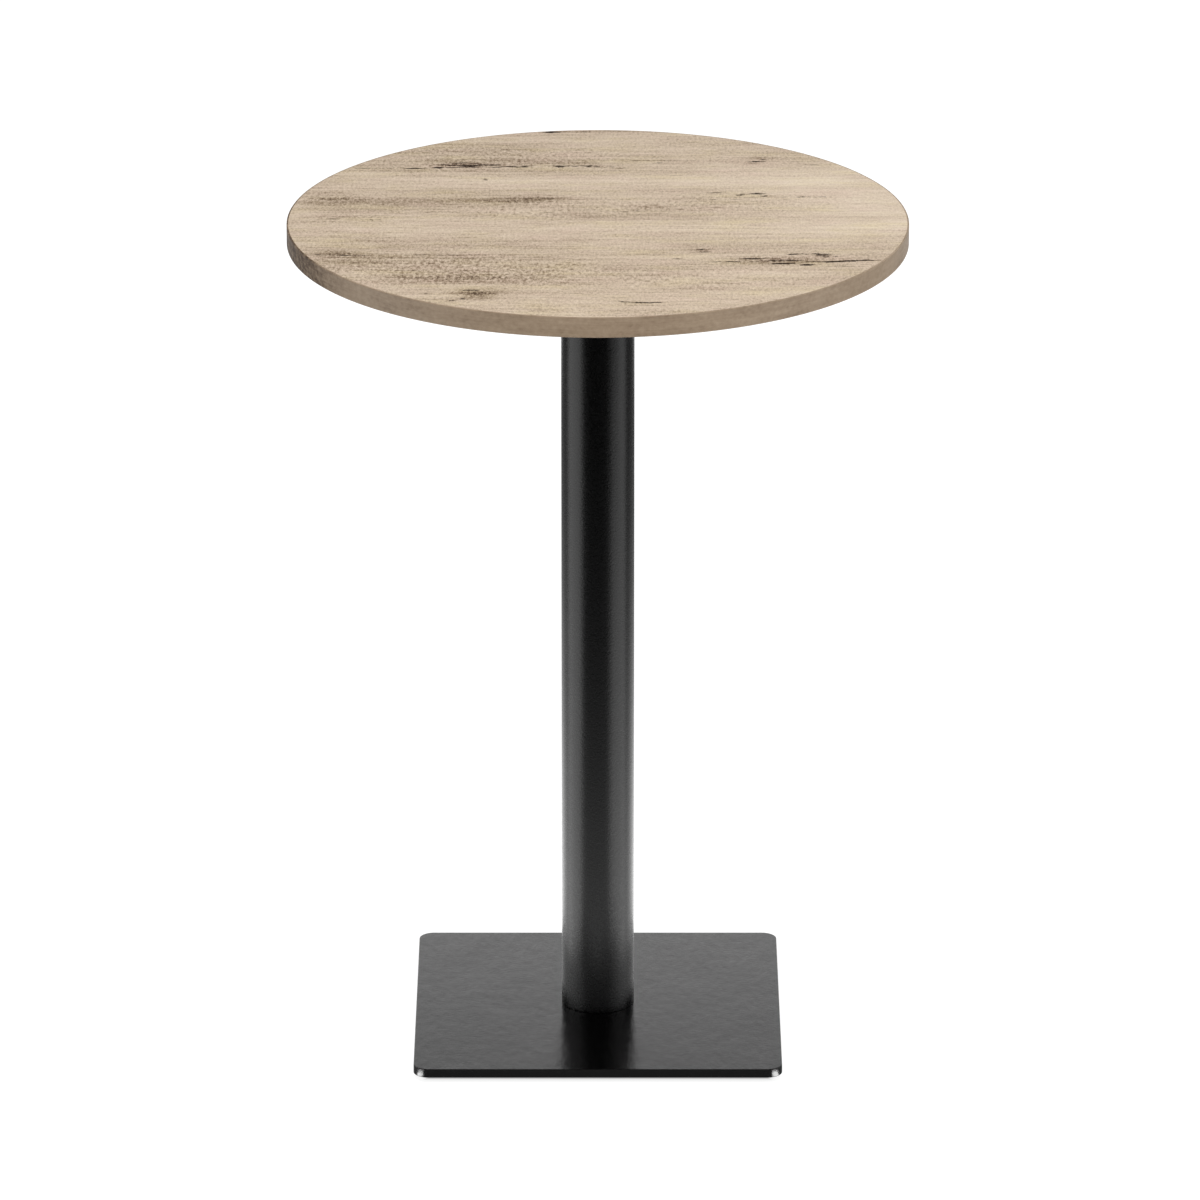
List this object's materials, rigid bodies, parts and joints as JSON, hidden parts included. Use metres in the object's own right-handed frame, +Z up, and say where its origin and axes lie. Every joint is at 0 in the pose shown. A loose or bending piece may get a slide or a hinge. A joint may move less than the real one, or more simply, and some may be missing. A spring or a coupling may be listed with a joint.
{
  "type": "bar table",
  "caption": "Tall round bar table: wood-look laminated top with a plastic edge band on a round steel column and a flat square steel base plate with screw-in levelling feet.",
  "frame": {"origin": "on the floor, under the column's axis, at the centre of the base", "axes": "+Z up along the column; +X to the right along the wood grain; the picture looks along +Y"},
  "size_m": [0.8, 0.8, 1.1],
  "materials": {
    "wood_decor": "satin",
    "chipboard": "matte",
    "backing": "matte",
    "edge_band": "satin",
    "black_paint": "satin",
    "bare_steel": "satin",
    "zinc_steel": "satin",
    "foot_plastic": "matte",
    "foot_rubber": "matte"
  },
  "bodies": {
    "table": {"top_core_board": "chipboard", "top_decor_laminate": "wood_decor", "top_backing_laminate": "backing", "top_edge_band": "edge_band", "top_mounting_plate": "black_paint", "top_wood_screws": "zinc_steel", "column_top_disc": "bare_steel", "column_top_screws": "zinc_steel", "column_tube": "black_paint", "column_bottom_disc": "bare_steel", "base_fixing_screws": "zinc_steel", "base_plate": "black_paint"},
    "pad_front_left": {"foot_pad_front_left": "foot_plastic", "foot_sole_front_left": "foot_rubber"},
    "stud_front_left": {"foot_stud_front_left": "zinc_steel"},
    "pad_front_right": {"foot_pad_front_right": "foot_plastic", "foot_sole_front_right": "foot_rubber"},
    "stud_front_right": {"foot_stud_front_right": "zinc_steel"},
    "pad_back_right": {"foot_pad_back_right": "foot_plastic", "foot_sole_back_right": "foot_rubber"},
    "stud_back_right": {"foot_stud_back_right": "zinc_steel"},
    "pad_back_left": {"foot_pad_back_left": "foot_plastic", "foot_sole_back_left": "foot_rubber"},
    "stud_back_left": {"foot_stud_back_left": "zinc_steel"}
  },
  "joints": [
    {"name": "height_front_left", "type": "slide", "parent": "table", "child": "pad_front_left", "axis": [0, 0, -1], "range_m": [0, 0.005]},
    {"name": "spin_front_left", "type": "hinge", "parent": "pad_front_left", "child": "stud_front_left", "pos_m": [-0.195, -0.195, 0.006], "axis": [0, 0, -1], "range_deg": [0, 1440]},
    {"name": "height_front_right", "type": "slide", "parent": "table", "child": "pad_front_right", "axis": [0, 0, -1], "range_m": [0, 0.005]},
    {"name": "spin_front_right", "type": "hinge", "parent": "pad_front_right", "child": "stud_front_right", "pos_m": [0.195, -0.195, 0.006], "axis": [0, 0, -1], "range_deg": [0, 1440]},
    {"name": "height_back_right", "type": "slide", "parent": "table", "child": "pad_back_right", "axis": [0, 0, -1], "range_m": [0, 0.005]},
    {"name": "spin_back_right", "type": "hinge", "parent": "pad_back_right", "child": "stud_back_right", "pos_m": [0.195, 0.195, 0.006], "axis": [0, 0, -1], "range_deg": [0, 1440]},
    {"name": "height_back_left", "type": "slide", "parent": "table", "child": "pad_back_left", "axis": [0, 0, -1], "range_m": [0, 0.005]},
    {"name": "spin_back_left", "type": "hinge", "parent": "pad_back_left", "child": "stud_back_left", "pos_m": [-0.195, 0.195, 0.006], "axis": [0, 0, -1], "range_deg": [0, 1440]}
  ],
  "couplings": [
    {"joint": "height_front_left", "follows": "spin_front_left", "m_per_rad": 0.00019894},
    {"joint": "height_front_right", "follows": "spin_front_right", "m_per_rad": 0.00019894},
    {"joint": "height_back_right", "follows": "spin_back_right", "m_per_rad": 0.00019894},
    {"joint": "height_back_left", "follows": "spin_back_left", "m_per_rad": 0.00019894}
  ]
}
